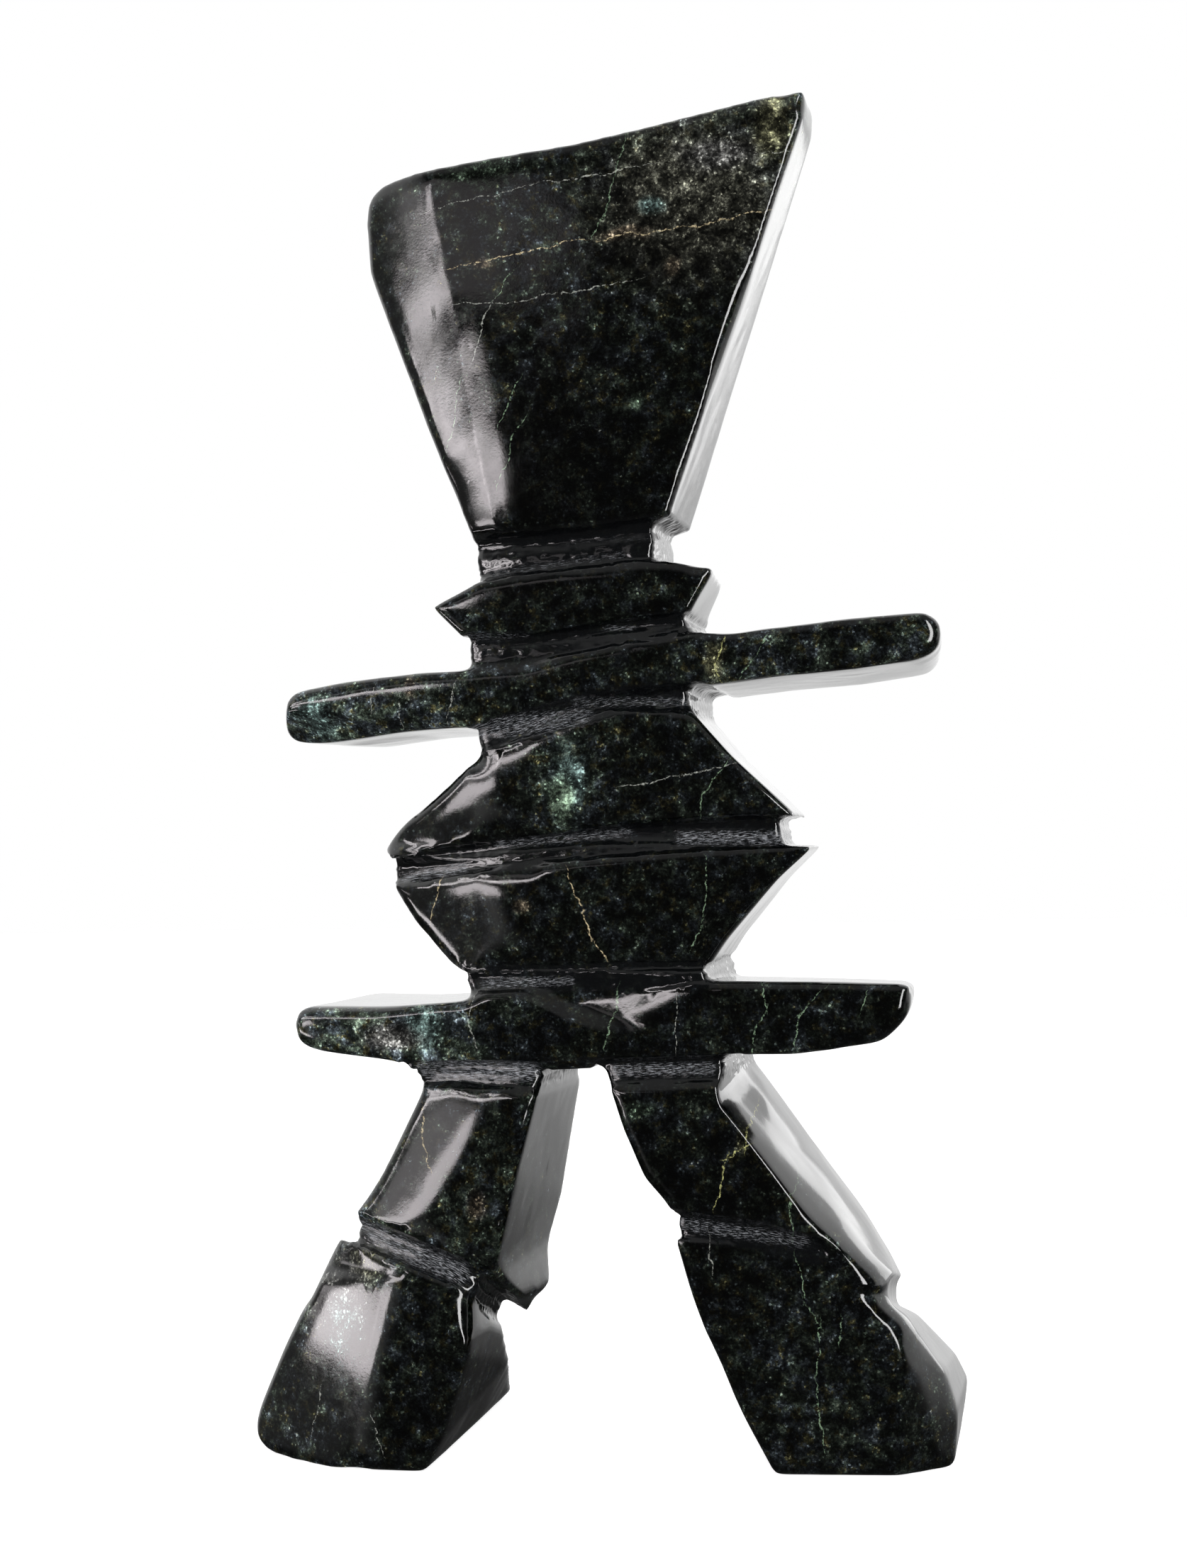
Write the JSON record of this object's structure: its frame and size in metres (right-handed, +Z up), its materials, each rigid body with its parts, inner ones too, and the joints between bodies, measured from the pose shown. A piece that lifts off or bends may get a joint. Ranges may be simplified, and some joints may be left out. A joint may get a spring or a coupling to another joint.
{
  "type": "inuit inukshuk sculpture",
  "caption": "Carved stone figure of stacked slabs with a wedge head, long arms and hip slab, standing on splayed legs with blocky feet.",
  "frame": {"origin": "on the ground under the figure, at the centre of its outline seen from above", "axes": "+Z up through the head, -Y the way the figure faces, +X to its viewer's right"},
  "size_m": [0.1486, 0.0722, 0.28],
  "materials": {
    "serpentine": "near-black green serpentine with pale flecks and veins, polished faces and matt rasped grooves"
  },
  "bodies": {
    "root": {"inukshuk_carving": "serpentine"}
  },
  "joints": []
}
